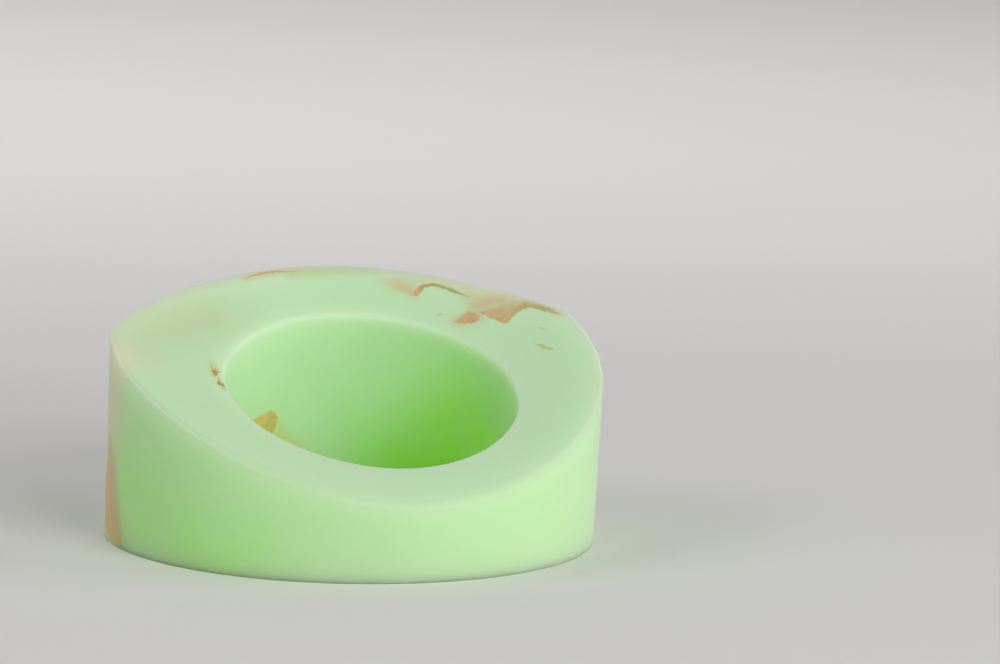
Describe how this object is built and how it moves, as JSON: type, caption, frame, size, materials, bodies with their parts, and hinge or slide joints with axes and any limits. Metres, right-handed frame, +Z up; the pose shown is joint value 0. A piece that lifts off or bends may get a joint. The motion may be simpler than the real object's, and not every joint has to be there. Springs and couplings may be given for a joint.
{
  "type": "resin finger ring",
  "caption": "Chunky one-piece resin finger ring with a flat base, a sloping dished top face and scraps of metal leaf in its skin.",
  "frame": {"origin": "on the resting surface, under the middle of the ring's box", "axes": "+Z up from the flat base, +Y from the narrow palm side to the wide display side, +X across the hand"},
  "size_m": [0.0296, 0.0262, 0.0152],
  "materials": {
    "resin": "milky translucent cast resin, sanded to a soft satin gloss",
    "copper_leaf": "crumpled copper leaf under a thin skin of resin",
    "brass_leaf": "crumpled brass leaf seen through green resin"
  },
  "bodies": {
    "root": {"resin_body": "resin", "leaf_bent_strip": "copper_leaf", "leaf_large_scrap": "copper_leaf", "leaf_wedge_scrap": "copper_leaf", "leaf_olive_dash": "brass_leaf", "leaf_fleck_middle": "brass_leaf", "leaf_fleck_right": "brass_leaf", "leaf_rim_strip": "copper_leaf", "leaf_shredded_fleck": "copper_leaf", "leaf_dot_fleck": "copper_leaf", "leaf_hole_edge_fleck": "copper_leaf", "leaf_hole_wall_scrap": "brass_leaf", "leaf_side_wall_scrap": "copper_leaf"}
  },
  "joints": []
}
